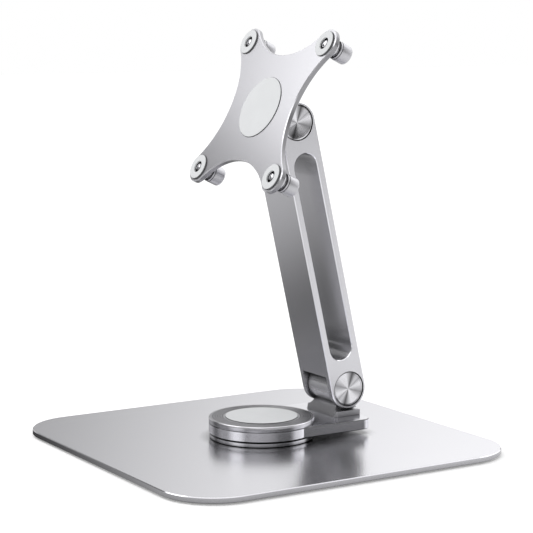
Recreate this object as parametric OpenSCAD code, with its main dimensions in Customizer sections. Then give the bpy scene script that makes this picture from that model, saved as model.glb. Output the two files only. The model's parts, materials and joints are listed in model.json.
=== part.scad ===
// Folding aluminium tablet stand: a square base plate, a swivelling foot with a turned disc,
// a slotted arm between two friction hinges, and an X-shaped head plate with four captive screws.
// Millimetres. +Z is up, +X runs along the hinge pins, -Y is the side that the tablet faces.
// The origin lies on the swivel axis, at the surface that the stand rests on.

/* [Base plate] */
// Side of the square base plate
base_side = 202; // [160:1:240]
// Corner radius of the base plate
base_corner_r = 30; // [15:1:40]
// Thickness of the base plate
base_t = 3; // [3:0.5:6]
// Diameter of the rubber foot pads
foot_d = 20; // [12:1:30]
// How far the foot pads stand below the base plate
foot_proud = 1; // [0.5:0.1:2]

/* [Swivel] */
// Diameter of the swivel disc
disc_d = 57.6; // [50:0.2:70]
// Thickness of the fixed hub flange under the swivel plate
hub_flange_t = 2.6; // [2.4:0.1:4]
// Thickness of the swivel plate
swivel_t = 5.6; // [5:0.1:8]
// Width of the swivel plate behind the disc
swivel_w = 54; // [40:1:56]
// Distance from the swivel axis to the swivel plate's back edge
swivel_back = 55; // [55:1:70]
// Thickness of the turned cap on the disc
cap_t = 2.8; // [2.6:0.1:4]
// Diameter of the silicone pad on the cap
swivel_pad_d = 39.6; // [30:0.2:44]

/* [Arm] */
// Width of the arm along the hinge pins
arm_w = 30; // [28:1:36]
// Depth of the arm, and the diameter of its round ends
arm_d = 22; // [22:1:26]
// Distance between the two hinge axes
arm_len = 151.4; // [120:0.2:200]
// Forward lean of the arm in degrees
arm_lean = 13; // [0:1:30]
// Width of the window through the arm
window_w = 14.2; // [8:0.2:15]
// Distance from each hinge axis to the window's nearer end
window_end = 17.2; // [16:0.2:40]

/* [Hinges] */
// Distance of the lower hinge axis behind the swivel axis
hinge_y = 47.3; // [45:0.1:50]
// Height of the lower hinge axis above the swivel plate
hinge_rise = 15.2; // [15:0.1:20]
// Diameter of the hinge pins
pin_d = 10; // [8:0.5:10]
// Diameter of the turned hinge caps
hinge_cap_d = 18.6; // [16:0.2:19]

/* [Head] */
// Spacing of the four tablet screws in each direction
screw_pitch = 75; // [75:25:100]
// Backward lean of the head plate in degrees
head_lean = 25.7; // [0:0.1:40]
// Thickness of the head plate
head_t = 3; // [2.5:0.5:4]
// Distance from the head's centre to the middle of each concave edge
head_waist = 30.5; // [26:0.5:34]
// Radius of the concave edges
head_edge_r = 45; // [40:1:60]
// Diameter of the silicone pad in the middle of the head
head_pad_d = 34.6; // [30:0.2:36]
// Diameter of the silicone ring around each screw
ring_pad_d = 14; // [12:0.5:15]

/* [Captive screws] */
// Thread diameter of the tablet screws
screw_d = 4; // [4:0.5:5]
// Outer diameter of the screw knobs
knob_d = 10.4; // [10.4:0.2:12]
// How far a captive screw pushes forward
screw_travel = 3; // [1:0.1:3]

/* [Hidden] */

$fn = 96;
eps = 0.01;          // overlap of a cutting tool past the face it opens
edge = 0.4;          // chamfer on the machined edges
small_edge = 0.25;   // chamfer on the small turned parts

// Heights of the stacked parts
base_bottom = foot_proud;
base_top = base_bottom + base_t;
swivel_gap = 0.3;                               // thickness of the lower swivel washer
swivel_bottom = base_top + hub_flange_t + swivel_gap;
swivel_top = swivel_bottom + swivel_t;
cap_top = swivel_top + cap_t;

// Foot pads
foot_recess = 0.5;
foot_inset = 21;                                // from the plate's edges to the pad's centre
foot_place = base_side / 2 - foot_inset;

// Hub, swivel plate and its clamp, from the middle outwards and from the bottom up
spigot_r = 8;
boss_r = 10;
running = 0.05;                                 // radial clearance of a part that turns
web_t = 2.2;                                    // swivel plate left under the counterbore
web_top = swivel_bottom + web_t;
counterbore_r = 18;
clamp_r = 17;
upper_washer_t = 0.4;
pressure_t = 1.2;
spring_t = 0.8;
pivot_r = 4;
pivot_head_r = 7;
pivot_head_h = 2;
boss_top = web_top + upper_washer_t / 2;
pressure_bottom = web_top + upper_washer_t;
disc_spring_bottom = pressure_bottom + pressure_t;
pivot_head_bottom = disc_spring_bottom + spring_t;
pivot_socket_r = 2.9;
hub_r = disc_d / 2 - 0.4;
hub_screw_ring_r = 22;
hub_screw_r = 1.5;
pad_recess = 0.4;
pad_t = 0.8;
cap_rim_edge = 0.6;
groove_count = 5;
groove_pitch = 1.3;
groove_depth = 0.25;
swivel_corner_r = 5.5;

// Hinges
barrel_r = 9.5;
ear_t = 3.5;
fork_w = arm_w - 2 * ear_t;
hinge_washer_t = 0.3;
knuckle_w = fork_w - 2 * hinge_washer_t;
fork_depth = 10;                                // from the hinge axis to the fork's floor
ear_clearance_r = arm_d / 2 + 0.6;
pin_r = pin_d / 2;
cap_recess = 1.6;
cap_disc_t = 1.3;
cap_shank_r = 2.5;
cap_shank_l = 7;
recess_r = hinge_cap_d / 2 + 0.5;
hinge_z = swivel_top + hinge_rise;

// Foot of the lower hinge
knuckle_flange_t = 3;
knuckle_front = 38.4;
knuckle_fillet = 3;
knuckle_corner = 1.8;
foot_screw_x = 7;
foot_screw_r = 2.5;
foot_screw_l = 9.5;

// Head: depths are measured backwards from the front face of the ring pads
ring_pad_t = 1;
plate_front = ring_pad_t;
plate_back = plate_front + head_t;
axis_depth = 17.07;                             // of the upper hinge axis
axis_drop = 1.1;                                // of the upper hinge axis below the head's centre
corner = screw_pitch / 2;
edge_centre = head_waist + head_edge_r;
tip_r = norm([edge_centre - corner, corner]) - head_edge_r + 0.06;   // the concave edges just cut into the tips
tip_turn = atan2(corner, edge_centre - corner);   // direction in which a tip meets its concave edge
head_pad_recess = 0.5;
head_pad_t = 1;
head_flange_w = 27;
head_flange_h = 26;
head_flange_t = 1.7;
neck_half = 8.6;
head_screw_x = 7;
head_screw_v = 6;
head_screw_r = 1.5;
head_screw_l = 8;
screw_head_r = 2.9;
head_countersink = screw_head_r - head_screw_r;

// Captive screws, as depths behind the front face of the ring pads
screw_hole_r = 3.25;
screw_r = screw_d / 2;
neck_r = 1.45;
tip_depth = 0.3;
thread_end = plate_front + 2;
web_front = thread_end + 0.2;
web_rear = web_front + 1.2;
web_hole_r = neck_r + 0.25;
press_r = 3.9;
ferrule_flange_r = 5.5;
ferrule_flange_t = 1;
sleeve_r = 4.2;
sleeve_end = 10;
sleeve_groove = [7.1, 7.8, 0.3];                // start, end and depth of the groove round the sleeve
chamber_r = 3.4;
knob_front = plate_back + ferrule_flange_t + screw_travel + 0.1;
knob_floor = sleeve_end + screw_travel + 0.1;
knob_rear = knob_floor + 3.1;
knob_round = 1.5;
knob_r = knob_d / 2;
knob_bore_r = sleeve_r + 0.2;
knob_ring_t = 1;
knob_groove = 0.3;
spring_washer_t = 0.5;
coil_wire_r = 0.3;
coil_r = 2.75;
coil_turns = 5;
coil_steps = 12;                                // points in each turn
coil_sides = 8;
corners = [[-1, 1], [1, 1], [1, -1], [-1, -1]];

aluminium = "#c9cacd";
bright = "#e4e5e8";
steel = "#9a9ca0";
silicone = "#dcdde0";
rubber = "#5c5d60";
nylon = "#2e2e31";

// ---------- frames ----------

// Places children at the lower hinge axis, with +Z along the arm
module on_arm() {
    translate([0, hinge_y, hinge_z])
        rotate([arm_lean, 0, 0])
            children();
}

// Places children at the upper hinge axis, with the arm's directions
module on_arm_top() {
    on_arm() translate([0, 0, arm_len]) children();
}

// Places children on the head: x across, y up the plate, z forwards, zero at the ring pads' front
module on_head() {
    on_arm_top()
        rotate([-arm_lean - head_lean, 0, 0])
            translate([0, -axis_depth, axis_drop])
                rotate([90, 0, 0])
                    children();
}

// Places children at one of the four tablet screws, with z running backwards from the pads' front
module at_corner(i) {
    on_head()
        translate([corner * corners[i - 1][0], corner * corners[i - 1][1], 0])
            rotate([180, 0, 0])
                children();
}

// Turns children so that their z runs along x
module along_x() {
    rotate([0, 90, 0]) children();
}

// ---------- shared shapes ----------

// Turned ring or disc from z = a to z = b, with chamfered outer edges
module turned(r, a, b, hole = 0, c = small_edge) {
    rotate_extrude()
        polygon([[hole, a], [r - c, a], [r, a + c], [r, b - c], [r - c, b], [hole, b]]);
}

// Bar of length l along z, w wide and d deep, with chamfered long edges
module chamfered_bar(w, d, l, c) {
    linear_extrude(l)
        polygon([
            [-w / 2 + c, -d / 2], [w / 2 - c, -d / 2], [w / 2, -d / 2 + c], [w / 2, d / 2 - c],
            [w / 2 - c, d / 2], [-w / 2 + c, d / 2], [-w / 2, d / 2 - c], [-w / 2, -d / 2 + c]
        ]);
}

// Plate w wide and l long with round corners and chamfered edges, from z = 0 to z = t
module rounded_plate(w, l, r, t, c) {
    for (sx = [-1, 1], sy = [-1, 1])
        translate([sx * (w / 2 - r), sy * (l / 2 - r), 0])
            turned(r, 0, t, 0, c);
    translate([0, l / 2 - r, t / 2])
        rotate([90, 0, 0])
            chamfered_bar(w, t, l - 2 * r, c);
    translate([-w / 2 + r, 0, t / 2])
        rotate([90, 0, 90])
            chamfered_bar(l, t, w - 2 * r, c);
}

// Countersunk screw whose head lies flat at z = 0 and whose shank runs up
module countersunk(head_r, shank_r, l, socket_r) {
    difference() {
        union() {
            cylinder(r1 = head_r, r2 = shank_r, h = head_r - shank_r);
            cylinder(r = shank_r, h = l);
        }
        translate([0, 0, -eps])
            cylinder(r = socket_r, h = (head_r - shank_r) * 0.8, $fn = 6);
    }
}

// Cutter for a countersunk screw
module countersunk_hole(head_r, shank_r, l) {
    translate([0, 0, -eps]) cylinder(r = shank_r, h = l + eps);
    cylinder(r1 = head_r, r2 = shank_r, h = head_r - shank_r);
    translate([0, 0, -1]) cylinder(r = head_r, h = 1);
}

// ---------- base ----------

module base_plate() {
    color(aluminium)
        difference() {
            translate([0, 0, base_bottom])
                rounded_plate(base_side, base_side, base_corner_r, base_t, edge);
            translate([0, 0, base_bottom - eps])
                cylinder(r = spigot_r, h = base_t + 2 * eps);
            for (i = [1 : 4])
                foot_position(i)
                    cylinder(r = foot_d / 2 + 0.1, h = base_bottom + foot_recess);
            hub_screw_places()
                countersunk_hole(hub_screw_r * 2, hub_screw_r, base_t + eps);
        }
}

module foot_position(i) {
    translate([foot_place * corners[i - 1][0], foot_place * corners[i - 1][1], 0])
        children();
}

module foot_pad(i) {
    color(rubber)
        foot_position(i)
            turned(foot_d / 2, 0, foot_proud + foot_recess);
}

module hub_screw_places() {
    for (a = [45 : 90 : 315])
        rotate(a) translate([hub_screw_ring_r, 0, base_bottom]) children();
}

module hub_screws() {
    color(steel)
        hub_screw_places()
            countersunk(hub_screw_r * 2, hub_screw_r, base_t + hub_flange_t - 0.4, 1);
}

// Fixed hub: a spigot in the base plate, the visible flange, and the boss that the swivel turns on
module swivel_hub() {
    color(aluminium)
        difference() {
            union() {
                turned(hub_r, base_top, base_top + hub_flange_t, 0, edge);
                translate([0, 0, base_bottom + 0.2])
                    cylinder(r = spigot_r, h = base_t);
                translate([0, 0, base_top])
                    cylinder(r = boss_r, h = boss_top - base_top);
            }
            translate([0, 0, base_bottom])
                cylinder(r = pivot_r, h = boss_top);
            hub_screw_places()
                cylinder(r = hub_screw_r, h = base_t + hub_flange_t - 0.3);
        }
}

module lower_swivel_washer() {
    color(nylon)
        turned(disc_d / 2 - 3, base_top + hub_flange_t, swivel_bottom, boss_r + 0.3, 0.05);
}

module upper_swivel_washer() {
    color(nylon)
        turned(clamp_r, web_top, pressure_bottom, boss_r + 0.3, 0.05);
}

module pressure_plate() {
    color(steel)
        turned(clamp_r, pressure_bottom, disc_spring_bottom, pivot_r + 0.2);
}

// Coned spring that keeps the swivel's friction even
module disc_spring() {
    inner = pivot_r + 0.3;
    outer = 10;
    metal = 0.45;
    z0 = disc_spring_bottom;
    color(steel)
        rotate_extrude()
            polygon([[outer, z0], [outer, z0 + metal], [inner, z0 + spring_t], [inner, z0 + spring_t - metal]]);
}

module pivot_screw() {
    color(steel)
        difference() {
            union() {
                translate([0, 0, base_bottom + 0.6])
                    cylinder(r = pivot_r, h = pivot_head_bottom - base_bottom);
                turned(pivot_head_r, pivot_head_bottom, pivot_head_bottom + pivot_head_h);
            }
            translate([0, 0, pivot_head_bottom + 0.4])
                cylinder(r = pivot_socket_r, h = pivot_head_h, $fn = 6);
        }
}

// ---------- swivel ----------

module foot_screw_places() {
    for (sx = [-1, 1])
        translate([sx * foot_screw_x, hinge_y, swivel_bottom]) children();
}

module swivel_plate() {
    // The bar's front corners end inside the disc
    back_l = swivel_back - swivel_corner_r;
    color(aluminium)
        difference() {
            union() {
                turned(disc_d / 2, swivel_bottom, swivel_top, 0, edge);
                translate([0, back_l, (swivel_bottom + swivel_top) / 2])
                    rotate([90, 0, 0])
                        chamfered_bar(swivel_w, swivel_t, back_l, edge);
                translate([-swivel_w / 2 + swivel_corner_r, swivel_back / 2 + 5, (swivel_bottom + swivel_top) / 2])
                    rotate([90, 0, 90])
                        chamfered_bar(swivel_back - 10, swivel_t, swivel_w - 2 * swivel_corner_r, edge);
                for (sx = [-1, 1])
                    translate([sx * (swivel_w / 2 - swivel_corner_r), back_l, 0])
                        turned(swivel_corner_r, swivel_bottom, swivel_top, 0, edge);
            }
            translate([0, 0, swivel_bottom - eps])
                cylinder(r = boss_r + running, h = swivel_t);
            translate([0, 0, web_top])
                cylinder(r = counterbore_r, h = swivel_t);
            foot_screw_places()
                countersunk_hole(foot_screw_r * 2, foot_screw_r, swivel_t + eps);
        }
}

// Turned cap over the clamp, with fine rings round its recess for the pad
module swivel_cap() {
    r = disc_d / 2;
    recess_wall = swivel_pad_d / 2 + 0.2;
    cavity_r = 11;
    cavity_top = pivot_head_bottom + pivot_head_h + 0.3;
    spigot_bottom = disc_spring_bottom + 0.5;
    first_groove = r - 2.1;
    color(aluminium)
        rotate_extrude()
            difference() {
                polygon([
                    [0, cavity_top], [cavity_r, cavity_top], [cavity_r, spigot_bottom],
                    [counterbore_r, spigot_bottom], [counterbore_r, swivel_top], [r - small_edge, swivel_top],
                    [r, swivel_top + small_edge], [r, cap_top - cap_rim_edge], [r - cap_rim_edge, cap_top],
                    [recess_wall, cap_top], [recess_wall, cap_top - pad_recess], [0, cap_top - pad_recess]
                ]);
                for (i = [0 : groove_count - 1])
                    translate([first_groove - i * groove_pitch, cap_top])
                        polygon([[-groove_depth, eps], [0, -groove_depth], [groove_depth, eps]]);
            }
}

module swivel_pad() {
    color(silicone)
        turned(swivel_pad_d / 2, cap_top - pad_recess, cap_top - pad_recess + pad_t);
}

// Side outline of the lower knuckle: a front that leans back in an arc, and an upright back
module knuckle_outline() {
    arc_y = 16.35;   // from the foot of the arc to its centre
    arc_z = -5.7;
    intersection() {
        polygon([
            [knuckle_front, swivel_top], [knuckle_front, hinge_z], [hinge_y + 6, hinge_z],
            [swivel_back - 1.2, swivel_top + 5], [swivel_back - 0.2, swivel_top + knuckle_flange_t],
            [swivel_back - 0.2, swivel_top]
        ]);
        translate([knuckle_front + arc_y, swivel_top + arc_z]) circle(norm([arc_y, arc_z]));
    }
}

// Front outline of the lower knuckle: a wide flange that sweeps in to the barrel's width
module knuckle_width_outline() {
    half = arm_w / 2;
    inner = knuckle_w / 2;
    z1 = swivel_top + knuckle_flange_t;
    f = knuckle_fillet;
    difference() {
        union() {
            translate([-half, swivel_top]) square([arm_w, knuckle_flange_t]);
            translate([-inner - f, swivel_top]) square([2 * (inner + f), knuckle_flange_t + f]);
            translate([-inner, swivel_top]) square([2 * inner, hinge_rise]);
        }
        for (s = [-1, 1])
            translate([s * (inner + f), z1 + f]) circle(f);
    }
}

module knuckle_flange_corners() {
    half = arm_w / 2;
    c = knuckle_corner;
    y0 = knuckle_front;
    y1 = swivel_back;
    polygon([
        [-half + c, y0], [half - c, y0], [half, y0 + c], [half, y1],
        [-half, y1], [-half, y0 + c]
    ]);
}

module foot_knuckle() {
    color(aluminium)
        difference() {
            union() {
                intersection() {
                    translate([-arm_w, 0, 0])
                        rotate([90, 0, 90])
                            linear_extrude(2 * arm_w) knuckle_outline();
                    translate([0, swivel_back, 0])
                        rotate([90, 0, 0])
                            linear_extrude(swivel_back) knuckle_width_outline();
                    linear_extrude(hinge_z) knuckle_flange_corners();
                }
                translate([-knuckle_w / 2, hinge_y, hinge_z])
                    along_x() cylinder(r = barrel_r, h = knuckle_w);
            }
            for (s = [-1, 1])
                translate([s * (knuckle_w / 2 + ear_t), hinge_y, hinge_z])
                    along_x() cylinder(r = ear_clearance_r, h = 2 * ear_t, center = true);
            translate([-arm_w / 2, hinge_y, hinge_z])
                along_x() cylinder(r = pin_r + running, h = arm_w);
            foot_screw_places()
                cylinder(r = foot_screw_r, h = foot_screw_l + 0.5);
        }
}

module foot_screws() {
    color(steel)
        foot_screw_places()
            countersunk(foot_screw_r * 2, foot_screw_r, foot_screw_l, 1.8);
}

// ---------- arm ----------

// Round chamfered end of the arm
module arm_end() {
    translate([-arm_w / 2, 0, 0])
        along_x() turned(arm_d / 2, 0, arm_w, 0, edge);
}

// Long round-ended window through the arm, with chamfered rims
module window_cut() {
    r = window_w / 2;
    low = window_end + r;
    high = arm_len - window_end - r;
    c = edge;
    half = arm_w / 2;
    for (z = [low, high])
        translate([-half - eps, 0, z])
            along_x()
                rotate_extrude()
                    polygon([
                        [0, 0], [r + c, 0], [r + c, eps], [r, c + eps], [r, arm_w - c + eps],
                        [r + c, arm_w + eps], [r + c, arm_w + 2 * eps], [0, arm_w + 2 * eps]
                    ]);
    translate([0, 0, low])
        linear_extrude(high - low)
            polygon([
                [-half - eps, -r - c], [-half, -r - c], [-half + c, -r], [half - c, -r],
                [half, -r - c], [half + eps, -r - c], [half + eps, r + c], [half, r + c],
                [half - c, r], [-half + c, r], [-half, r + c], [-half - eps, r + c]
            ]);
}

// Everything that is cut at one hinge end: the fork, the pin's bore and the cap recesses
module hinge_end_cut() {
    translate([-fork_w / 2, -arm_d, -arm_d])
        cube([fork_w, 2 * arm_d, arm_d + fork_depth]);
    translate([-arm_w / 2 - eps, 0, 0])
        along_x() cylinder(r = pin_r, h = arm_w + 2 * eps);
    for (s = [-1, 1])
        translate([s * arm_w / 2, 0, 0])
            along_x() cylinder(r = recess_r, h = 2 * cap_recess, center = true);
}

module arm_bar() {
    color(aluminium)
        on_arm()
            difference() {
                union() {
                    arm_end();
                    translate([0, 0, arm_len]) arm_end();
                    chamfered_bar(arm_w, arm_d, arm_len, edge);
                }
                window_cut();
                hinge_end_cut();
                translate([0, 0, arm_len]) mirror([0, 0, 1]) hinge_end_cut();
            }
}

// Hinge pin across the arm, drilled at both ends for the caps' shanks
module hinge_pin() {
    l = arm_w - 2 * cap_recess;
    color(steel)
        along_x()
            difference() {
                cylinder(r = pin_r, h = l, center = true);
                for (s = [-1, 1])
                    translate([0, 0, s * l / 2])
                        cylinder(r = cap_shank_r, h = 2 * (cap_shank_l + 0.5), center = true);
            }
}

module hinge_washer(side) {
    color(nylon)
        translate([side * fork_w / 2 - (side > 0 ? hinge_washer_t : 0), 0, 0])
            along_x() turned(barrel_r - 0.7, 0, hinge_washer_t, pin_r + 0.1, 0.05);
}

// Turned cap with a shank that screws into the pin
module hinge_cap(side) {
    floor_x = arm_w / 2 - cap_recess;
    color(bright)
        rotate([0, side * 90, 0]) {
            translate([0, 0, floor_x - cap_shank_l])
                cylinder(r = cap_shank_r, h = cap_shank_l + eps);
            turned(hinge_cap_d / 2, floor_x, floor_x + cap_disc_t);
        }
}

// ---------- head ----------

// Head plate before its edges and holes are cut: a body that reaches past the edges, and round tips
module head_blank(t) {
    a = corner + (tip_r + 2) * cos(tip_turn);
    b = corner - (tip_r + 2) * sin(tip_turn);
    c = corner;
    linear_extrude(t)
        polygon([
            [a, b], [c, c], [b, a], [-b, a], [-c, c], [-a, b],
            [-a, -b], [-c, -c], [-b, -a], [b, -a], [c, -c], [a, -b]
        ]);
    for (s = corners)
        translate([corner * s[0], corner * s[1], 0])
            turned(tip_r, 0, t, 0, edge);
}

// Cutter for one concave edge, flared at both faces for the chamfers
module concave_edge_cut(t) {
    r = head_edge_r;
    rotate_extrude($fn = 180)
        polygon([
            [0, -eps], [r + edge, -eps], [r + edge, 0], [r, edge],
            [r, t - edge], [r + edge, t], [r + edge, t + eps], [0, t + eps]
        ]);
}

module head_screw_places() {
    for (sx = [-1, 1], sy = [-1, 1])
        on_head()
            translate([sx * head_screw_x, sy * head_screw_v, -plate_front - head_pad_recess])
                rotate([180, 0, 0])
                    children();
}

module head_plate() {
    color(aluminium)
        difference() {
            on_head()
                translate([0, 0, -plate_back])
                    difference() {
                        head_blank(head_t);
                        for (side = [0 : 90 : 270])
                            rotate(side) translate([edge_centre, 0, 0]) concave_edge_cut(head_t);
                        translate([0, 0, head_t - head_pad_recess])
                            cylinder(r = head_pad_d / 2 + 0.2, h = head_t);
                        for (s = corners)
                            translate([corner * s[0], corner * s[1], -eps])
                                cylinder(r = press_r, h = head_t + 2 * eps);
                    }
            head_screw_places()
                countersunk_hole(screw_head_r, head_screw_r, head_t);
        }
}

module head_pad() {
    color(silicone)
        on_head()
            turned(head_pad_d / 2, -plate_front - head_pad_recess, -plate_front - head_pad_recess + head_pad_t);
}

module head_screws() {
    color(steel)
        head_screw_places()
            countersunk(screw_head_r, head_screw_r, head_screw_l, 1);
}

// Barrel and neck that carry the head plate inside the arm's upper fork
module head_knuckle() {
    drop = -axis_drop;
    color(aluminium)
        difference() {
            on_head() {
                translate([-head_flange_w / 2, -head_flange_h / 2, -plate_back - head_flange_t])
                    cube([head_flange_w, head_flange_h, head_flange_t]);
                translate([-knuckle_w / 2, drop - neck_half, -axis_depth])
                    cube([knuckle_w, 2 * neck_half, axis_depth - plate_back - eps]);
                translate([-knuckle_w / 2, drop, -axis_depth])
                    along_x() cylinder(r = barrel_r, h = knuckle_w);
            }
            on_head()
                translate([-arm_w / 2, drop, -axis_depth])
                    along_x() cylinder(r = pin_r + running, h = arm_w);
            head_screw_places()
                cylinder(r = head_screw_r, h = head_screw_l + 0.3);
        }
}

// ---------- captive screws ----------

module ring_pad(i) {
    c = small_edge;
    r = ring_pad_d / 2;
    color(silicone)
        at_corner(i)
            rotate_extrude()
                polygon([
                    [screw_hole_r + c, 0], [r - c, 0], [r, c], [r, ring_pad_t],
                    [screw_hole_r, ring_pad_t], [screw_hole_r, c]
                ]);
}

// Stepped bush pressed into the head plate, with a web that keeps the screw
module ferrule(i) {
    f0 = plate_back + ferrule_flange_t;
    g = sleeve_groove;
    color(bright)
        at_corner(i)
            rotate_extrude()
                polygon([
                    [screw_hole_r, plate_front], [press_r, plate_front], [press_r, plate_back],
                    [ferrule_flange_r, plate_back], [ferrule_flange_r, f0 - small_edge],
                    [ferrule_flange_r - small_edge, f0], [sleeve_r, f0],
                    [sleeve_r, g[0]], [sleeve_r - g[2], g[0]], [sleeve_r - g[2], g[1]], [sleeve_r, g[1]],
                    [sleeve_r, sleeve_end], [chamber_r, sleeve_end], [chamber_r, web_rear],
                    [web_hole_r, web_rear], [web_hole_r, web_front], [screw_hole_r, web_front]
                ]);
}

// One ring of points round the coil's wire, at step k
function coil_ring(k, rise) =
    let (a = 360 * k / coil_steps)
    [for (j = [0 : coil_sides - 1])
        let (b = 360 * j / coil_sides, r = coil_r + coil_wire_r * cos(b))
        [r * cos(a), r * sin(a), rise * k / coil_steps + coil_wire_r * sin(b)]];

module screw_spring(i) {
    low = web_rear + coil_wire_r + 0.05;
    high = knob_floor - spring_washer_t - coil_wire_r - 0.05;
    n = coil_turns * coil_steps;
    m = coil_sides;
    rings = [for (k = [0 : n]) coil_ring(k, (high - low) / coil_turns)];
    points = [for (ring = rings, p = ring) p];
    sides = [for (k = [0 : n - 1], j = [0 : m - 1])
        [k * m + j, k * m + (j + 1) % m, (k + 1) * m + (j + 1) % m, (k + 1) * m + j]];
    ends = [[for (j = [m - 1 : -1 : 0]) j], [for (j = [0 : m - 1]) n * m + j]];
    color(steel)
        at_corner(i)
            translate([0, 0, low])
                polyhedron(points, concat(sides, ends));
}

module spring_washer(i) {
    color(steel)
        at_corner(i)
            turned(chamber_r - 0.2, knob_floor - spring_washer_t, knob_floor, neck_r + 0.15, 0.1);
}

// Shouldered screw: a short thread in front, a thin neck through the web, and a root in the knob
module tablet_screw(i) {
    color(bright)
        at_corner(i)
            rotate_extrude()
                polygon([
                    [0, tip_depth], [screw_r - 0.5, tip_depth], [screw_r, tip_depth + 0.5],
                    [screw_r, thread_end], [neck_r, thread_end], [neck_r, knob_floor],
                    [screw_r, knob_floor], [screw_r, knob_rear - 0.6], [0, knob_rear - 0.6]
                ]);
}

// Smooth cup-shaped knob that slides over the ferrule's sleeve
module screw_knob(i) {
    ring_r = knob_r - 0.1;
    body = knob_front + knob_ring_t + knob_groove;
    color(aluminium)
        at_corner(i)
            rotate_extrude() {
                polygon([
                    [knob_bore_r, knob_front], [ring_r, knob_front], [ring_r, knob_front + knob_ring_t],
                    [ring_r - knob_groove, knob_front + knob_ring_t], [ring_r - knob_groove, body],
                    [knob_r, body], [knob_r, knob_rear - knob_round], [knob_r - knob_round, knob_rear],
                    [0, knob_rear], [0, knob_rear - 0.6], [screw_r, knob_rear - 0.6],
                    [screw_r, knob_floor], [knob_bore_r, knob_floor]
                ]);
                translate([knob_r - knob_round, knob_rear - knob_round])
                    intersection() {
                        circle(knob_round);
                        square(knob_round);
                    }
            }
}

// ---------- the assembly ----------

base_plate();
for (i = [1 : 4])
    foot_pad(i);
swivel_hub();
hub_screws();
lower_swivel_washer();
upper_swivel_washer();
pressure_plate();
disc_spring();
pivot_screw();
swivel_plate();
swivel_cap();
swivel_pad();
foot_knuckle();
foot_screws();
arm_bar();
on_arm() hinge_pin();  // lower_pin
on_arm() hinge_washer(-1);  // lower_washer_left
on_arm() hinge_washer(1);  // lower_washer_right
on_arm() hinge_cap(-1);  // lower_cap_left
on_arm() hinge_cap(1);  // lower_cap_right
on_arm_top() hinge_pin();  // upper_pin
on_arm_top() hinge_washer(-1);  // upper_washer_left
on_arm_top() hinge_washer(1);  // upper_washer_right
on_arm_top() hinge_cap(-1);  // upper_cap_left
on_arm_top() hinge_cap(1);  // upper_cap_right
head_knuckle();
head_screws();
head_plate();
head_pad();
for (i = [1 : 4]) {
    ring_pad(i);
    ferrule(i);
    screw_spring(i);
    spring_washer(i);
    tablet_screw(i);
    screw_knob(i);
}
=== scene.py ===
"""Looks of the folding tablet stand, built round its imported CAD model. Metres, in the model's own frame."""

import json
import math

import bmesh
import bpy
from mathutils import Matrix, Vector


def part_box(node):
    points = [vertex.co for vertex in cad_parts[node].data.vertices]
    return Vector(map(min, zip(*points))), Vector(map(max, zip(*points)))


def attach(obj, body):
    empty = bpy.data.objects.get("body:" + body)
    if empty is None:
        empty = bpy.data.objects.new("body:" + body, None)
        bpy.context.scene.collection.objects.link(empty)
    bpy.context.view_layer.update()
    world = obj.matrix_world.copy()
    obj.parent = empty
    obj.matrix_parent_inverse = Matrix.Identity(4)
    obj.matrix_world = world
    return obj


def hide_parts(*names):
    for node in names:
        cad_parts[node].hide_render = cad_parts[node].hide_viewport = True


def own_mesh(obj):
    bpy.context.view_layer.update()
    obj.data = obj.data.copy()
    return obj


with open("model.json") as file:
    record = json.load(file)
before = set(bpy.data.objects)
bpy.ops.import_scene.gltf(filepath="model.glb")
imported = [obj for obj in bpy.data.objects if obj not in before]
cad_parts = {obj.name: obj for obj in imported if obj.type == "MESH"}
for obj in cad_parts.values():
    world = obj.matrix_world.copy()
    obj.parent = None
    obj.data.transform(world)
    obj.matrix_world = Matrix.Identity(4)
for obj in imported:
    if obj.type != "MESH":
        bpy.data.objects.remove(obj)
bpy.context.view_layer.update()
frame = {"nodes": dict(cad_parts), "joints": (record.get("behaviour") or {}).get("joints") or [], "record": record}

MM = 0.001
TURN = 2 * math.pi
X, Y, Z = Vector((1, 0, 0)), Vector((0, 1, 0)), Vector((0, 0, 1))

BODY_OF = {n: body for body, nodes in frame["record"]["behaviour"]["bodies"].items() for n in nodes}
JOINT = {j["name"]: j for j in frame["joints"]}
CORNERS = (1, 2, 3, 4)

SWIVEL_AXIS = Vector(JOINT["swivel_turn"]["pos_m"])
LOWER_HINGE = Vector(JOINT["arm_fold"]["pos_m"])
UPPER_HINGE = Vector(JOINT["head_tilt"]["pos_m"])
ARM_ALONG = (UPPER_HINGE - LOWER_HINGE).normalized()
HEAD_FRONT = Vector(JOINT["screw_turn_1"]["axis"])
HEAD_CENTRE = sum((Vector(JOINT[f"screw_turn_{i}"]["pos_m"]) for i in CORNERS), Vector()) / 4

# Painted reflection: the spun caps' light ground and dark wedges are painted into their colour.
# Dark wedges across a spun face: degrees from its local x axis, half-width in degrees, depth
PAINTED_SPUN_REFLECTION_WEDGES = ((-30, 30, 0.85), (60, 30, 0.55), (-65, 15, 0.45))
PAINTED_SPUN_REFLECTION_GROUND = 0.9

# Captive screws, in millimetres: radii, then distances behind the front face of the silicone ring
RING_R, BORE_R, SLEEVE_R, KNOB_R = 7.0, 3.25, 4.2, 5.2
SCREW_R, NECK_R = 2.0, 1.45
RING_BACK, PLATE_BACK, FLANGE_BACK, SLEEVE_BACK = 1.0, 4.0, 5.0, 10.0
KNOB_FRONT, WASHER_FRONT, NECK_BACK, SCREW_BACK, KNOB_BACK = 8.1, 12.6, 13.1, 15.6, 16.2
THREAD_PITCH, THREAD_DEPTH = 0.7, 0.4


# ---------- shader helpers ----------


def put(tree, kind, *links, **settings):
    """A new shader node. links are (input, value or socket) pairs."""
    made = tree.nodes.new(kind)
    for name, value in settings.items():
        setattr(made, name, value)
    for key, value in links:
        if isinstance(value, bpy.types.NodeSocket):
            tree.links.new(value, made.inputs[key])
        else:
            made.inputs[key].default_value = value
    return made


def calc(tree, operation, *values):
    """The result of one math node."""
    return put(tree, "ShaderNodeMath", *enumerate(values), operation=operation).outputs[0]


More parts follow.
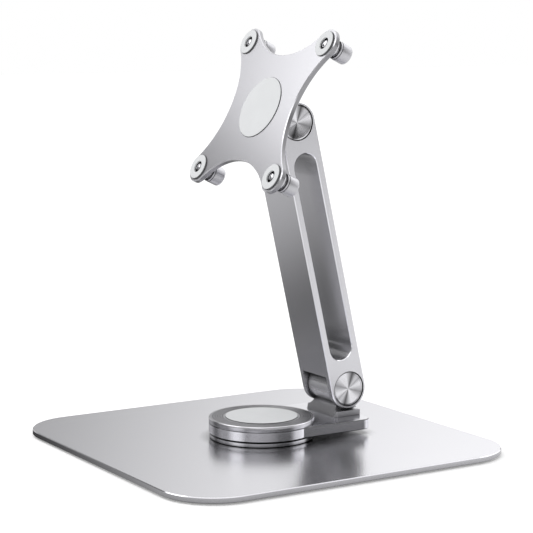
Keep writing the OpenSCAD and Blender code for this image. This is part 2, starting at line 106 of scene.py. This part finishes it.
def vector_calc(tree, operation, *values):
    """The number that one vector math node gives."""
    return put(tree, "ShaderNodeVectorMath", *enumerate(values), operation=operation).outputs["Value"]


def remap(tree, value, low, high, new_low, new_high, ends="LINEAR"):
    """value moved from one range to another, without overshoot."""
    made = put(tree, "ShaderNodeMapRange", ("Value", value), ("From Min", low), ("From Max", high),
               ("To Min", new_low), ("To Max", new_high), interpolation_type=ends, clamp=True)
    return made.outputs[0]


def ramp(tree, value, low, high, new_low, new_high):
    """A soft-edged step from new_low to new_high."""
    return remap(tree, value, low, high, new_low, new_high, ends="SMOOTHSTEP")


def blend_colour(tree, share, first, second):
    """A colour between two others."""
    factor, colour_a, colour_b, result = 0, 6, 7, 2
    made = put(tree, "ShaderNodeMix", data_type="RGBA")
    for key, value in ((factor, share), (colour_a, first), (colour_b, second)):
        if isinstance(value, bpy.types.NodeSocket):
            tree.links.new(value, made.inputs[key])
        else:
            made.inputs[key].default_value = value
    return made.outputs[result]


def grey(value, warmth=0.0):
    """An opaque near-neutral colour."""
    return (value * (1 + warmth), value, value * (1 - warmth), 1)


def aluminium(value):
    """Bare aluminium of that brightness, with its faint cool cast."""
    return (value, value * 0.995, min(1, value * 1.04), 1)


def new_material(name, metallic=1.0):
    """(material, node tree, Principled shader, object coordinates)"""
    made = bpy.data.materials.new(name)
    made.use_nodes = True
    tree = made.node_tree
    shader = tree.nodes["Principled BSDF"]
    shader.inputs["Metallic"].default_value = metallic
    coords = tree.nodes.new("ShaderNodeTexCoord").outputs["Object"]
    return made, tree, shader, coords


def join_up(tree, shader, tone, rough, height, relief, depth_mm):
    """Joins colour and roughness to the shader, and height as a bump."""
    bump = put(tree, "ShaderNodeBump", ("Strength", relief), ("Distance", depth_mm * MM),
               ("Height", height))
    tree.links.new(tone, shader.inputs["Base Color"])
    tree.links.new(rough, shader.inputs["Roughness"])
    tree.links.new(bump.outputs[0], shader.inputs["Normal"])


def grain(tree, coords, size_mm, stretch=(1, 1, 1), detail=3):
    """Noise whose spots are about size_mm across, drawn out by stretch."""
    scale = [1 / (size_mm * MM * s) for s in stretch]
    drawn = put(tree, "ShaderNodeMapping", ("Vector", coords), ("Scale", scale)).outputs[0]
    noise = put(tree, "ShaderNodeTexNoise", ("Vector", drawn), ("Scale", 1.0), ("Detail", detail))
    return noise.outputs[0]


def worn_and_painted_edges(tree, radius_mm):
    """1 on edges that hands and machining have worn, 0 on flat faces; the colour given there is partly that wear
    and partly a painted highlight or painted shade.
    """
    bent = put(tree, "ShaderNodeBevel", ("Radius", radius_mm * MM), samples=4).outputs[0]
    straight = tree.nodes.new("ShaderNodeNewGeometry").outputs["Normal"]
    return remap(tree, vector_calc(tree, "DOT_PRODUCT", bent, straight), 0.97, 0.80, 0.0, 1.0)


def painted_shade_factor(tree, reach_mm, clear=0.85):
    """Painted shade: 1 on open faces, down to 0.15 deep in slots and corners, where little light arrives; colour
    is darkened by it.
    """
    seen = put(tree, "ShaderNodeAmbientOcclusion", ("Distance", reach_mm * MM), samples=8).outputs["AO"]
    return remap(tree, seen, 0.3, clear, 0.15, 1.0)


def axis_lean(tree, axis):
    """1 on faces that lie across axis, 0 on faces that run along it."""
    normal = tree.nodes.new("ShaderNodeTexCoord").outputs["Normal"]
    return calc(tree, "ABSOLUTE", vector_calc(tree, "DOT_PRODUCT", normal, axis))


def chamfer_share(tree, axis):
    """1 on chamfers, whose normals lean half way towards axis, and 0 on faces along or across it."""
    lean = axis_lean(tree, axis)
    return calc(tree, "MULTIPLY", remap(tree, lean, 0.2, 0.4, 0, 1), remap(tree, lean, 0.85, 0.95, 1, 0))


def painted_spun_reflection(tree, x, y):
    """Painted reflection: share of full brightness round a spun face, with dark wedges that run straight through
    its centre.
    """
    angle = calc(tree, "ARCTAN2", y, x)
    share = PAINTED_SPUN_REFLECTION_GROUND
    for turned_by, half_width, depth in PAINTED_SPUN_REFLECTION_WEDGES:
        lean = calc(tree, "COSINE", calc(tree, "SUBTRACT", angle, math.radians(turned_by)))
        away = calc(tree, "ARCCOSINE", calc(tree, "ABSOLUTE", lean))
        share = calc(tree, "SUBTRACT", share, remap(tree, away, 0, math.radians(half_width), depth, 0))
    return share


# ---------- materials ----------


def satin_metal(name, colour, roughness, axis, brush, relief=0.02, metallic=1.0, reach_mm=10, wall_shade=None,
                edge=0.9):
    """Anodised aluminium with fine brushing and smoother chamfers, and painted shade in its hollows.
    wall is the brightness of the faces that run along axis, as painted shade, and edge that of the chamfers,
    partly their finish and partly painted highlight or shade."""
    polished = 0.12
    made, tree, shader, coords = new_material(name, metallic)
    lines = grain(tree, coords, 0.12, brush, 4)
    clouds = grain(tree, coords, 60)
    rubbed_and_painted_edges = calc(tree, "MAXIMUM", worn_and_painted_edges(tree, 0.25), chamfer_share(tree, axis))
    dull, bright = aluminium(colour * 0.985), aluminium(colour * 1.01)
    tone = blend_colour(tree, remap(tree, lines, 0.35, 0.65, 0, 1), dull, bright)
    tone = blend_colour(tree, remap(tree, clouds, 0.3, 0.7, 0, 0.25), tone, aluminium(colour * 0.97))
    # Painted shade: faces that run along axis take a darker colour.
    if wall_shade is not None:
        on_wall = remap(tree, axis_lean(tree, axis), 0.1, 0.3, 1, 0)
        tone = blend_colour(tree, on_wall, tone, aluminium(wall_shade))
    # Edges and chamfers take the edge colour: partly their polished finish, partly a painted highlight, and where
    # the edge colour is dark a painted seam shade.
    tone = blend_colour(tree, rubbed_and_painted_edges, tone, aluminium(edge))
    # Painted shade: colour darkens to near-black in slots, corners and under neighbouring parts.
    tone = blend_colour(tree, painted_shade_factor(tree, reach_mm), grey(0.01), tone)
    rough = remap(tree, lines, 0.3, 0.7, roughness - relief / 2, roughness + relief / 2)
    rough = calc(tree, "MULTIPLY_ADD", remap(tree, clouds, 0.3, 0.7, -1, 1), relief / 2, rough)
    rough = calc(tree, "MULTIPLY_ADD", rubbed_and_painted_edges, polished - roughness, rough)
    join_up(tree, shader, tone, rough, lines, relief, 0.02)
    return made


def turned_metal(name, colour, roughness, pitch_mm, relief=0.2, spun=False):
    """Metal turned about its own z axis: fine rings, and on a spun face a painted reflection of light and dark
    wedges through its centre.
    """
    made, tree, shader, coords = new_material(name)
    across, up, along = put(tree, "ShaderNodeSeparateXYZ", ("Vector", coords)).outputs
    flat = put(tree, "ShaderNodeCombineXYZ", ("X", across), ("Y", up)).outputs[0]
    per_ring = 1 / (pitch_mm * MM)
    outwards = calc(tree, "MULTIPLY", vector_calc(tree, "LENGTH", flat), per_ring)
    lengthways = calc(tree, "MULTIPLY", along, per_ring)
    ring_place = put(tree, "ShaderNodeCombineXYZ", ("X", outwards), ("Y", lengthways)).outputs[0]
    noise = put(tree, "ShaderNodeTexNoise", ("Vector", ring_place), ("Scale", 1.0), ("Detail", 4))
    rings = noise.outputs[0]
    dust = grain(tree, coords, 1.5)
    dull, bright = aluminium(colour * 0.94), aluminium(colour)
    tone = blend_colour(tree, remap(tree, rings, 0.35, 0.65, 0, 1), dull, bright)
    if spun:
        # Painted reflection: wedges of light and dark painted across the spun face.
        tone = blend_colour(tree, painted_spun_reflection(tree, across, up), aluminium(0.05), tone)
    rough = calc(tree, "MULTIPLY_ADD", remap(tree, dust, 0.3, 0.7, -1, 1), 0.008,
                 remap(tree, rings, 0.35, 0.65, roughness - 0.03, roughness + 0.03))
    join_up(tree, shader, tone, rough, rings, relief, 0.03)
    tangent = put(tree, "ShaderNodeTangent", direction_type="RADIAL", axis="Z")
    tree.links.new(tangent.outputs[0], shader.inputs["Tangent"])
    shader.inputs["Anisotropic"].default_value = 0.6 if spun else 0.9
    return made


def plain_metal(name, colour, roughness, spot_mm, relief):
    """Plated or blasted metal with fine specks, edges lighter for wear and a painted highlight, and painted shade
    in its hollows.
    """
    made, tree, shader, coords = new_material(name)
    specks = grain(tree, coords, spot_mm, detail=5)
    smears = grain(tree, coords, 9)
    dull, bright = aluminium(colour * 0.95), aluminium(colour)
    tone = blend_colour(tree, remap(tree, specks, 0.35, 0.65, 0, 1), dull, bright)
    # Edges lighter: partly wear, partly a painted highlight.
    tone = blend_colour(tree, worn_and_painted_edges(tree, 0.12), tone, aluminium(min(1, colour * 1.12)))
    # Painted shade: colour darkens to near-black in holes, grooves and under neighbouring parts.
    tone = blend_colour(tree, painted_shade_factor(tree, 8, 0.95), grey(0.01), tone)
    rough = remap(tree, smears, 0.3, 0.7, roughness * 0.85, roughness * 1.2)
    join_up(tree, shader, tone, rough, specks, relief, 0.03)
    return made


def soft_plastic(name, colour, roughness, spot_mm=0.25, relief=0.2, tint=0.0):
    """Moulded silicone, rubber or nylon with a fine matte grain."""
    made, tree, shader, coords = new_material(name, 0.0)
    specks = grain(tree, coords, spot_mm, detail=5)
    smears = grain(tree, coords, 12)
    dull, bright = grey(colour * 0.96, tint), grey(colour, tint)
    tone = blend_colour(tree, remap(tree, smears, 0.3, 0.7, 0, 1), dull, bright)
    tone = blend_colour(tree, remap(tree, specks, 0.4, 0.7, 0, 0.3), tone, grey(colour * 0.9, tint))
    rough = remap(tree, specks, 0.3, 0.7, roughness - 0.06, roughness + 0.06)
    join_up(tree, shader, tone, rough, specks, relief, 0.03)
    shader.inputs["Specular IOR Level"].default_value = 0.4
    return made


BASE_METAL = satin_metal("base_metal", 0.74, 0.23, Z, brush=(60, 1, 1), relief=0.01)
# Painted shade: the swivel's edges and chamfers are coloured dark for the shade in its seams.
SWIVEL_METAL = satin_metal("swivel_metal", 0.8, 0.2, Z, brush=(60, 1, 1), reach_mm=4, edge=0.15)
RIM_METAL = satin_metal("rim_metal", 0.6, 0.2, Z, brush=(1, 1, 1))
FOOT_METAL = satin_metal("foot_metal", 0.74, 0.28, Z, brush=(60, 1, 1), metallic=0.8, reach_mm=14)
ARM_METAL = satin_metal("arm_metal", 0.75, 0.27, X, brush=(1, 60, 60), relief=0.006, reach_mm=17)
# Painted shade: the head plate's side walls are coloured darker than its faces.
HEAD_METAL = satin_metal("head_metal", 0.82, 0.30, HEAD_FRONT, brush=(1, 60, 60), wall_shade=0.36)
CAP_METAL = turned_metal("cap_metal", 0.97, 0.16, 0.12, relief=0.1, spun=True)
RING_METAL = turned_metal("ring_metal", 0.36, 0.34, 0.35)
# Painted shade: the swivel cap's grooves are coloured near-black for the shade inside them.
GROOVE_SHADE_METAL = turned_metal("groove_painted_shade_metal", 0.03, 0.4, 0.35)
CHROME = plain_metal("chrome_metal", 0.86, 0.09, 0.8, 0.05)
KNOB_METAL = plain_metal("knob_metal", 0.64, 0.36, 0.15, 0.25)
STEEL = plain_metal("steel_metal", 0.58, 0.3, 0.5, 0.15)
SILICONE = soft_plastic("silicone_grain", 0.66, 0.5, tint=-0.015)
# Painted shade: near-black silicone on the pads' upright edges, for the shadow round them.
SILICONE_EDGE_SHADE = soft_plastic("silicone_edge_painted_shade", 0.1, 0.55, tint=-0.015)
RUBBER = soft_plastic("rubber_grain", 0.045, 0.7, 0.4, 0.4)
NYLON = soft_plastic("nylon_grain", 0.02, 0.5, 0.3)

# The CAD nodes that stay in view or inside, by the material that they get
CAD_FINISH = (
    (BASE_METAL, ("base_plate",)),
    (SWIVEL_METAL, ("swivel_hub", "swivel_plate")),
    (FOOT_METAL, ("foot_knuckle",)),
    (ARM_METAL, ("arm_bar",)),
    (HEAD_METAL, ("head_plate", "head_knuckle")),
    (STEEL, ("hub_screws", "foot_screws", "head_screws", "pressure_plate", "disc_spring", "pivot_screw",
             "lower_pin", "upper_pin")),
    (NYLON, ("lower_swivel_washer", "upper_swivel_washer", "lower_washer_left", "lower_washer_right",
             "upper_washer_left", "upper_washer_right")),
)


def finish_cad_nodes():
    for material, nodes in CAD_FINISH:
        for node in nodes:
            mesh = frame["nodes"][node].data
            mesh.materials.clear()
            mesh.materials.append(material)


# ---------- mesh helpers ----------


def rounded(points, steps=5):
    """Outline whose (x, y, fillet) corners are rounded, each by its own radius."""
    out = []
    for i, (x, y, fillet) in enumerate(points):
        here = Vector((x, y))
        if not fillet:
            out.append(here)
            continue
        back = (Vector(points[i - 1][:2]) - here).normalized()
        on = (Vector(points[(i + 1) % len(points)][:2]) - here).normalized()
        half = back.angle(on) / 2
        centre = here + (back + on).normalized() * fillet / math.sin(half)
        first = here + back * fillet / math.tan(half) - centre
        last = here + on * fillet / math.tan(half) - centre
        angle = math.atan2(first.cross(last), first.dot(last))
        out += [centre + Matrix.Rotation(angle * k / steps, 2) @ first for k in range(steps + 1)]
    return out


def placed(origin, z_axis, x_axis):
    """Matrix of a frame at origin with those directions."""
    y_axis = z_axis.cross(x_axis).normalized()
    x_axis = y_axis.cross(z_axis).normalized()
    turn = Matrix((x_axis, y_axis, z_axis.normalized())).transposed().to_4x4()
    return Matrix.Translation(origin) @ turn


def finished(bm, name, matrix, material, sharp_degrees=35):
    """Object from a bmesh, smooth except at its sharp edges."""
    bmesh.ops.remove_doubles(bm, verts=bm.verts, dist=1e-7)
    bmesh.ops.recalc_face_normals(bm, faces=bm.faces)
    mesh = bpy.data.meshes.new(name)
    bm.to_mesh(mesh)
    bm.free()
    mesh.polygons.foreach_set("use_smooth", [True] * len(mesh.polygons))
    mesh.set_sharp_from_angle(angle=math.radians(sharp_degrees))
    mesh.materials.append(material)
    made = bpy.data.objects.new(name, mesh)
    bpy.context.scene.collection.objects.link(made)
    made.matrix_world = matrix
    return made


def turned(name, profile, matrix, material, steps=96, radius_at=None):
    """Piece turned about the z axis of matrix from (radius, height) points in millimetres.
    radius_at(radius, height, angle) may change a radius, as for a thread."""
    bm = bmesh.new()
    rings = []
    for r, h in profile:
        if r < 1e-6:
            rings.append([bm.verts.new((0, 0, h * MM))] * steps)
            continue
        ring = []
        for k in range(steps):
            angle = TURN * k / steps
            reach = (radius_at(r, h, angle) if radius_at else r) * MM
            ring.append(bm.verts.new((reach * math.cos(angle), reach * math.sin(angle), h * MM)))
        rings.append(ring)
    closed = profile[0][0] > 1e-6
    for a, b in zip(rings, rings[1:] + (rings[:1] if closed else [])):
        for k in range(steps):
            n = (k + 1) % steps
            corners = list(dict.fromkeys((a[k], a[n], b[n], b[k])))
            if len(corners) > 2:
                bm.faces.new(corners)
    return finished(bm, name, matrix, material)


def stands_for(piece, node):
    """piece rides with a CAD node's body and is shown in its place."""
    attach(piece, BODY_OF[node])
    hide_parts(node)
    return piece


def with_painted_edge_shade(pad, r):
    """Painted shade: the upright edge at radius r takes near-black silicone for the shadow round the pad."""
    edge_depth = 0.06
    pad.data.materials.append(SILICONE_EDGE_SHADE)
    for face in pad.data.polygons:
        if face.center.xy.length > (r - edge_depth) * MM:
            face.material_index = 1
    return pad


def round_pad(name, node, r, thickness, place):
    """Flat silicone disc with a soft edge and a shallow dish. Local z runs out from its back face."""
    rim, slope, dish_depth = 1.2, 0.5, 0.06
    dish = thickness - dish_depth
    outline = rounded([
        (0, 0, 0), (r, 0, 0.1), (r, thickness, 0.3), (r - rim, thickness, 0.6),
        (r - rim - slope, dish, 0.6), (0, dish, 0),
    ])
    stands_for(with_painted_edge_shade(turned(name, outline, place, SILICONE, 128), r), node)


# ---------- base and swivel ----------


def foot_pads():
    """Rubber discs with a raised ring that stands on the table round a hollow middle."""
    ring, slope, hollow = 4.0, 0.6, 0.25
    for i in CORNERS:
        low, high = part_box(f"foot_pad_{i}")
        middle = (low + high) / 2
        r = (high.x - low.x) / 2 / MM
        top = (high.z - low.z) / MM
        outline = rounded([
            (0, hollow, 0), (r - ring, hollow, 0), (r - ring + slope, 0, 0.3), (r, 0, 0.6),
            (r, top, 0.1), (0, top, 0),
        ])
        place = placed(Vector((middle.x, middle.y, low.z)), Z, X)
        stands_for(turned(f"foot_pad_soft_{i}", outline, place, RUBBER), f"foot_pad_{i}")


def swivel_cap():
    """Turned cap: a bright rounded rim, five V-shaped grooves, a well for the pad and a step below."""
    gap, rim = 0.2, 0.75
    low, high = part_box("swivel_cap")
    pad_low, pad_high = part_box("swivel_pad")
    r = (high.x - low.x) / 2 / MM
    well = (pad_high.x - pad_low.x) / 2 / MM + gap
    height = (high.z - SWIVEL_AXIS.z) / MM
    floor = (pad_low.z - SWIVEL_AXIS.z) / MM
    plate_top = (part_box("swivel_plate")[1].z - SWIVEL_AXIS.z) / MM
    grooves, pitch, first, half = 5, 1.3, 2.1, 0.28
    step_r, step, bore_r, web = 18.0, plate_top - 1.5, 11.0, floor - 0.9
    outline = [(0, floor, 0), (well, floor, 0), (well, height, 0.12)]
    for k in reversed(range(grooves)):
        at = r - first - k * pitch
        outline += [(at - half, height, 0.08), (at, height - half, 0.06), (at + half, height, 0.08)]
    outline += [(r, height, 0.55), (r, plate_top, 0.15), (r - 1, plate_top, 0)]
    outline += [(step_r, plate_top, 0), (step_r, step, 0), (bore_r, step, 0), (bore_r, web, 0), (0, web, 0)]
    cap = turned("swivel_cap_turned", rounded(outline, 4), placed(SWIVEL_AXIS, Z, X), RING_METAL, 192)
    cap.data.materials.append(RIM_METAL)
    # Painted shade: the groove faces take the near-black groove colour.
    cap.data.materials.append(GROOVE_SHADE_METAL)
    for face in cap.data.polygons:
        reach = face.center.xy.length / MM
        below_groove_middle = height - half / 2 - face.center.z / MM
        if reach > r - rim:
            face.material_index = 1
        elif reach > well + gap and abs(below_groove_middle) < half / 2 - 0.02:
            face.material_index = 2
    stands_for(cap, "swivel_cap")


def swivel_pad():
    low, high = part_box("swivel_pad")
    place = placed(Vector((0, 0, low.z)), Z, X)
    round_pad("swivel_pad_soft", "swivel_pad", (high.x - low.x) / 2 / MM, (high.z - low.z) / MM, place)


# ---------- hinges ----------


def hinge_caps():
    """Spun caps: a faint cone inside a rounded rim, on a shank in the pin."""
    thickness, shank_r, tip_r = 1.3, 2.5, 0.5
    rim, slope, rim_depth, cone_depth = 0.7, 0.2, 0.12, 0.3
    for end, hinge in (("lower", LOWER_HINGE), ("upper", UPPER_HINGE)):
        for side, sign in (("left", -1), ("right", 1)):
            node = f"{end}_cap_{side}"
            low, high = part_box(node)
            outer = max(abs(low.x), abs(high.x)) / MM
            inner = min(abs(low.x), abs(high.x)) / MM
            r = (high.z - low.z) / 2 / MM
            back = outer - thickness
            outline = rounded([
                (0, inner, 0), (shank_r, inner, 0.2), (shank_r, back, 0), (r, back, 0.15),
                (r, outer, 0.25), (r - rim, outer, 0.1), (r - rim - slope, outer - rim_depth, 0.1),
                (tip_r, outer - cone_depth, 0.3), (0, outer - cone_depth, 0),
            ])
            place = placed(Vector((0, hinge.y, hinge.z)), X * sign, ARM_ALONG)
            stands_for(turned(f"{end}_cap_spun_{side}", outline, place, CAP_METAL, 128), node)


# ---------- head ----------


def head_pad():
    r, thickness, sunk = 17.3, 1.0, 1.5
    place = placed(HEAD_CENTRE - HEAD_FRONT * sunk * MM, HEAD_FRONT, X)
    round_pad("head_pad_soft", "head_pad", r, thickness, place)


def corner_place(i):
    """Frame of one captive screw. Its z runs backwards from the front face of the silicone ring."""
    joint = JOINT[f"screw_turn_{i}"]
    return placed(Vector(joint["pos_m"]), -Vector(joint["axis"]), X)


def ring_pad(i):
    outline = rounded([
        (BORE_R, 0, 0.3), (RING_R, 0, 0.45), (RING_R, RING_BACK, 0.05), (BORE_R, RING_BACK, 0.05),
    ])
    ring = turned(f"ring_pad_soft_{i}", outline, corner_place(i), SILICONE)
    stands_for(with_painted_edge_shade(ring, RING_R), f"ring_pad_{i}")


def ferrule(i):
    """Bright stepped bush: a flange behind the plate, a grooved sleeve and a web for the spring."""
    plug_r, flange_r, neck_r, groove_r, cup_r, web_r = 3.9, 5.5, 4.4, 3.9, 3.4, 1.7
    web_front, web_back, sleeve_front, groove_front, groove_back = 3.2, 4.4, 5.3, 7.1, 7.8
    outline = rounded([
        (BORE_R, RING_BACK, 0.1), (plug_r, RING_BACK, 0), (plug_r, PLATE_BACK, 0),
        (flange_r, PLATE_BACK, 0.15), (flange_r, FLANGE_BACK, 0.35), (neck_r, FLANGE_BACK, 0.15),
        (SLEEVE_R, sleeve_front, 0.15),
        (SLEEVE_R, groove_front, 0.12), (groove_r, groove_front, 0.08), (groove_r, groove_back, 0.08),
        (SLEEVE_R, groove_back, 0.12), (SLEEVE_R, SLEEVE_BACK, 0.2), (cup_r, SLEEVE_BACK, 0.05),
        (cup_r, web_back, 0.1), (web_r, web_back, 0.1), (web_r, web_front, 0.1), (BORE_R, web_front, 0.1),
    ])
    stands_for(turned(f"ferrule_bright_{i}", outline, corner_place(i), CHROME), f"ferrule_{i}")


def thread_radius(r, h, angle):
    """The thread on the front of the screw, fading out at both ends."""
    first, last, fade_length = 0.5, 2.95, 0.25
    if r < 1.5 or not first <= h <= last:
        return r
    wave = abs(2 * ((h / THREAD_PITCH - angle / TURN) % 1) - 1)
    fade = min(1, (h - first) / fade_length, (last - h) / fade_length)
    return r - THREAD_DEPTH * fade * wave


def tablet_screw(i):
    """Captive screw: a domed threaded tip, a thin neck for the spring, and a root held in the knob."""
    tip = rounded([(0, 0.3, 0), (0.5, 0.3, 0.3), (1.5, 0.55, 0.5), (1.75, 0.64, 0)])
    thread_front, step, steps = 0.65, 0.05, 47
    thread = [Vector((SCREW_R, thread_front + step * k)) for k in range(steps)]
    rest = rounded([
        (SCREW_R, 3.0, 0.05), (NECK_R, 3.0, 0), (NECK_R, NECK_BACK, 0), (SCREW_R, NECK_BACK, 0),
        (SCREW_R, SCREW_BACK, 0), (0, SCREW_BACK, 0),
    ])
    outline = tip + thread + rest
    screw = turned(f"tablet_screw_threaded_{i}", outline, corner_place(i), CHROME, 64, thread_radius)
    stands_for(screw, f"tablet_screw_{i}")


def screw_knob(i):
    """Matte cup-shaped knob: a thin front ring, a groove, and a body that is round at the back."""
    chamber_r, ring_r, groove_r = 4.4, 5.1, 4.8
    groove_front, groove_back = 9.1, 9.4
    outline = rounded([
        (chamber_r, KNOB_FRONT, 0.1), (ring_r, KNOB_FRONT, 0.2), (ring_r, groove_front, 0.1),
        (groove_r, groove_front, 0.05), (groove_r, groove_back, 0.05), (KNOB_R, groove_back, 0.12),
        (KNOB_R, KNOB_BACK, 1.5), (0, KNOB_BACK, 0), (0, SCREW_BACK, 0), (SCREW_R, SCREW_BACK, 0),
        (SCREW_R, NECK_BACK, 0), (chamber_r, NECK_BACK, 0.2),
    ], 7)
    stands_for(turned(f"screw_knob_matte_{i}", outline, corner_place(i), KNOB_METAL), f"screw_knob_{i}")


def spring_washer(i):
    """Washer between the spring and the knob's floor."""
    hole_r, r = 1.6, 3.2
    outline = rounded([
        (hole_r, WASHER_FRONT, 0.1), (r, WASHER_FRONT, 0.15), (r, NECK_BACK, 0.15),
        (hole_r, NECK_BACK, 0.1),
    ])
    stands_for(turned(f"spring_washer_round_{i}", outline, corner_place(i), STEEL), f"spring_washer_{i}")


def screw_spring(i):
    """Wire coil with closed ends."""
    coil_r, wire_r, low, high = 2.75, 0.3, 4.75, 12.25
    turns, per_turn, sides = 7, 24, 10
    bm = bmesh.new()
    rings = []
    for k in range(turns * per_turn + 1):
        angle = TURN * k / per_turn
        through = min(1, max(0, (k / per_turn - 1) / (turns - 2)))
        middle = low + (high - low) * through
        ring = []
        for s in range(sides):
            a = TURN * s / sides
            r = coil_r + wire_r * math.cos(a)
            at = Vector((r * math.cos(angle), r * math.sin(angle), middle + wire_r * math.sin(a)))
            ring.append(bm.verts.new(at * MM))
        rings.append(ring)
    for a, b in zip(rings, rings[1:]):
        for s in range(sides):
            n = (s + 1) % sides
            bm.faces.new((a[s], a[n], b[n], b[s]))
    bm.faces.new(reversed(rings[0]))
    bm.faces.new(rings[-1])
    piece = finished(bm, f"screw_spring_coil_{i}", corner_place(i), STEEL)
    stands_for(piece, f"screw_spring_{i}")
    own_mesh(piece)


# ---------- studio ----------


# The camera's direction, and its place measured from the top of the base plate
AZIMUTH, ELEVATION = math.radians(58.13), math.radians(7.86)
LENS = 121.15
ASIDE, UPWARDS, DISTANCE = 0.0027, 0.0926, 0.9799
RIGHT = Vector((math.cos(AZIMUTH), math.sin(AZIMUTH), 0))
BACK = RIGHT.cross(Z) * math.cos(ELEVATION) + Z * math.sin(ELEVATION)
UP = BACK.cross(RIGHT)

# Middle of the painted shadow on the floor, seen only in the metal's reflections
DARK_SPOT = Vector((-0.12, -0.10, 0))

# Patches of light that the metal mirrors: azimuth, elevation, outer and inner half-angle, strength
SKY_LIGHTS = (
    (-35, 16, 45, 10, 0.28),   # wide and dim, in front
    (180, 11, 26, 4, 0.45),    # from the left
    (238, 9, 24, 4, 0.3),      # from the left and in front
    (-88, 8, 24, 3, 1.3),      # from the front, for the left of the disc's side
    (60, 8, 26, 3, 1.05),      # from the right and behind, for the right of the disc's side
    (-48, 42, 26, 8, 0.9),     # from above, in front, for rims and chamfers
)


def camera():
    data = bpy.data.cameras.new("view")
    data.lens = LENS
    data.sensor_width = 36
    made = bpy.data.objects.new("view", data)
    bpy.context.scene.collection.objects.link(made)
    base_top = Vector((0, 0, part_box("base_plate")[1].z))
    made.matrix_world = placed(base_top + RIGHT * ASIDE + UP * UPWARDS + BACK * DISTANCE, BACK, RIGHT)
    bpy.context.scene.camera = made


def direction_at(azimuth, elevation):
    """Unit vector by degrees counterclockwise from +X and above the horizon."""
    a, e = math.radians(azimuth), math.radians(elevation)
    return Vector((math.cos(a) * math.cos(e), math.sin(a) * math.cos(e), math.sin(e)))


def lobe(tree, direction, azimuth, elevation, edge, core, strength):
    """A soft patch of light that fades between core and edge degrees from its middle."""
    nearness = vector_calc(tree, "DOT_PRODUCT", direction, direction_at(azimuth, elevation))
    return ramp(tree, nearness, math.cos(math.radians(edge)), math.cos(math.radians(core)), 0.0, strength)


def mirrored_only(tree, shown, mirrored):
    """shown, except to rays that bounced off something glossy, which find mirrored."""
    glossy = tree.nodes.new("ShaderNodeLightPath").outputs["Is Glossy Ray"]
    return put(tree, "ShaderNodeMixShader", (0, glossy), (1, shown), (2, mirrored)).outputs[0]


def surroundings():
    """A white room, with softboxes and darker gaps between them in what the metal reflects."""
    world = bpy.data.worlds.new("studio")
    bpy.context.scene.world = world
    world.use_nodes = True
    tree = world.node_tree
    tree.nodes.clear()
    direction = tree.nodes.new("ShaderNodeTexCoord").outputs["Generated"]
    height = put(tree, "ShaderNodeSeparateXYZ", ("Vector", direction)).outputs[2]
    rising = ramp(tree, height, 0.02, 0.24, 0.15, 1.0)
    back = calc(tree, "MULTIPLY", lobe(tree, direction, 112, 22, 50, 26, 1.22), rising)
    total = calc(tree, "ADD", 0.07, back)
    total = calc(tree, "ADD", total, ramp(tree, height, 0.42, 0.95, 0.0, 0.95))
    for patch in SKY_LIGHTS:
        total = calc(tree, "ADD", total, lobe(tree, direction, *patch))
    studio_light = put(tree, "ShaderNodeBackground", ("Color", total), ("Strength", 1.0)).outputs[0]
    white = put(tree, "ShaderNodeBackground", ("Color", grey(1.0)), ("Strength", 1.0)).outputs[0]
    put(tree, "ShaderNodeOutputWorld", ("Surface", mirrored_only(tree, white, studio_light)))


def floor():
    """A pale floor; to rays off glossy metal it glows instead with a painted shadow, dark near the base and pale
    further off.
    """
    bm = bmesh.new()
    bmesh.ops.create_grid(bm, x_segments=1, y_segments=1, size=6)
    material = bpy.data.materials.new("pale_floor")
    material.use_nodes = True
    tree = material.node_tree
    tree.nodes.clear()
    coords = tree.nodes.new("ShaderNodeTexCoord").outputs["Object"]
    x, y = put(tree, "ShaderNodeSeparateXYZ", ("Vector", coords)).outputs[:2]
    # Painted shadow: a glow darkest near the base, and darker again far to the left and in front.
    away = ramp(tree, vector_calc(tree, "DISTANCE", coords, DARK_SPOT), 0.0, 0.36, 0.05, 0.95)
    shade = calc(tree, "MULTIPLY", away, ramp(tree, x, -0.42, -0.22, 0.66, 1.0))
    shade = calc(tree, "MULTIPLY", shade, ramp(tree, y, -0.5, -0.2, 0.4, 1.0))
    white = put(tree, "ShaderNodeBsdfDiffuse", ("Color", grey(0.9))).outputs[0]
    glow = put(tree, "ShaderNodeEmission", ("Color", grey(1.0)), ("Strength", 0.25)).outputs[0]
    pale = put(tree, "ShaderNodeAddShader", (0, white), (1, glow)).outputs[0]
    painted_shadow_glow = put(tree, "ShaderNodeEmission", ("Color", shade), ("Strength", 1.0)).outputs[0]
    put(tree, "ShaderNodeOutputMaterial", ("Surface", mirrored_only(tree, pale, painted_shadow_glow)))
    finished(bm, "floor", Matrix.Identity(4), material)


def softbox(name, middle, facing, width, height, power):
    """A rectangular light at middle that shines towards facing."""
    data = bpy.data.lights.new(name, "AREA")
    data.shape = "RECTANGLE"
    data.size = width
    data.size_y = height
    data.energy = power
    made = bpy.data.objects.new(name, data)
    bpy.context.scene.collection.objects.link(made)
    out = (middle - facing).normalized()
    made.matrix_world = placed(middle, out, Z.cross(out))


def studio():
    bpy.context.scene.view_settings.view_transform = "Standard"
    camera()
    surroundings()
    floor()
    key_distance = 0.6
    key_at = HEAD_CENTRE + direction_at(225, 41) * key_distance
    softbox("head_key", key_at, HEAD_CENTRE, width=0.5, height=0.42, power=0.94)


# ---------- the whole scene ----------


finish_cad_nodes()
foot_pads()
swivel_cap()
swivel_pad()
hinge_caps()
head_pad()
for i in CORNERS:
    ring_pad(i)
    ferrule(i)
    tablet_screw(i)
    screw_knob(i)
    spring_washer(i)
    screw_spring(i)
studio()
